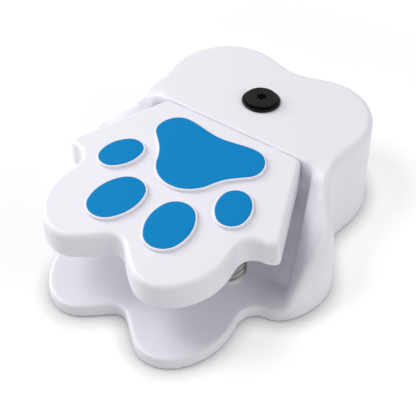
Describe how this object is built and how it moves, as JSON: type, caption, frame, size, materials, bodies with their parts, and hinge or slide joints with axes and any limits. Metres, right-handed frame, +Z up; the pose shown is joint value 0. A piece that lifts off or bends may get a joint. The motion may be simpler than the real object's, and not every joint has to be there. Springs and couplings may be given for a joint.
{
  "type": "dog water dispenser",
  "caption": "Paw-shaped step-on drinking fountain for dogs with a sprung pedal, swivelling jet nozzle and garden hose inlet.",
  "frame": {"origin": "on the floor under the middle foot, on the fountain's plane of symmetry", "axes": "+X to the right seen from the paw's toes, +Y from the toes to the hose inlet, +Z up"},
  "size_m": [0.1836, 0.228, 0.072],
  "materials": {
    "shell_white": "smooth satin",
    "pad_blue": "satin",
    "nozzle_grey": "satin",
    "nylon_black": "matte",
    "rubber_black": "matte",
    "rubber_grey": "matte",
    "hose_grey": "smooth",
    "spring_steel": "drawn wire",
    "steel": "satin",
    "brass": "turned"
  },
  "bodies": {
    "base": {"housing": "shell_white", "bottom_cover": "shell_white", "cover_screws": "steel", "rubber_feet": "rubber_grey", "hinge_rod": "steel", "hinge_clips": "steel", "valve_body": "brass", "gland_nut": "brass", "stem_oring": "rubber_black", "valve_screws": "steel", "riser_tube": "hose_grey", "riser_clips": "steel", "nozzle_gasket": "rubber_black", "nozzle_ring": "nozzle_grey", "nozzle_nut": "nylon_black", "hose_inlet": "brass", "inlet_lock_nut": "brass", "retaining_ring": "steel", "hose_washer": "rubber_black", "filter_screen": "steel", "pedal_spring_right": "spring_steel", "pedal_spring_left": "spring_steel"},
    "pedal_unit": {"pedal": "shell_white", "main_pad": "pad_blue", "toe_pad_right_inner": "pad_blue", "toe_pad_left_inner": "pad_blue", "toe_pad_right_outer": "pad_blue", "toe_pad_left_outer": "pad_blue"},
    "stem": {"valve_stem": "steel", "stem_button": "nylon_black", "poppet_seal": "rubber_black"},
    "jet_cap": {"nozzle_cap": "nozzle_grey", "nozzle_oring": "rubber_black"},
    "hose_nut": {"swivel_nut": "nylon_black"}
  },
  "joints": [
    {"name": "pedal_hinge", "type": "hinge", "parent": "base", "child": "pedal_unit", "pos_m": [0, -0.045, 0.06], "axis": [1, 0, 0], "range_deg": [0, 7], "stiffness_Nm_per_rad": 2.5, "springref_deg": -8.59, "deforming": ["pedal_spring_left", "pedal_spring_right"]},
    {"name": "stem_slide", "type": "slide", "parent": "base", "child": "stem", "axis": [0, 1, 0], "range_m": [0, 0.0047], "stiffness_N_per_m": 300, "springref_m": -0.002},
    {"name": "cap_turn", "type": "hinge", "parent": "base", "child": "jet_cap", "pos_m": [0, -0.0024, 0.06775], "axis": [0, 0.0436, 0.999], "range_deg": [0, 90]},
    {"name": "nut_swivel", "type": "hinge", "parent": "base", "child": "hose_nut", "pos_m": [0, 0.05, 0.023], "axis": [0, 1, 0], "continuous": true}
  ],
  "couplings": [
    {"joint": "stem_slide", "follows": "pedal_hinge", "m_per_rad": 0.037}
  ]
}
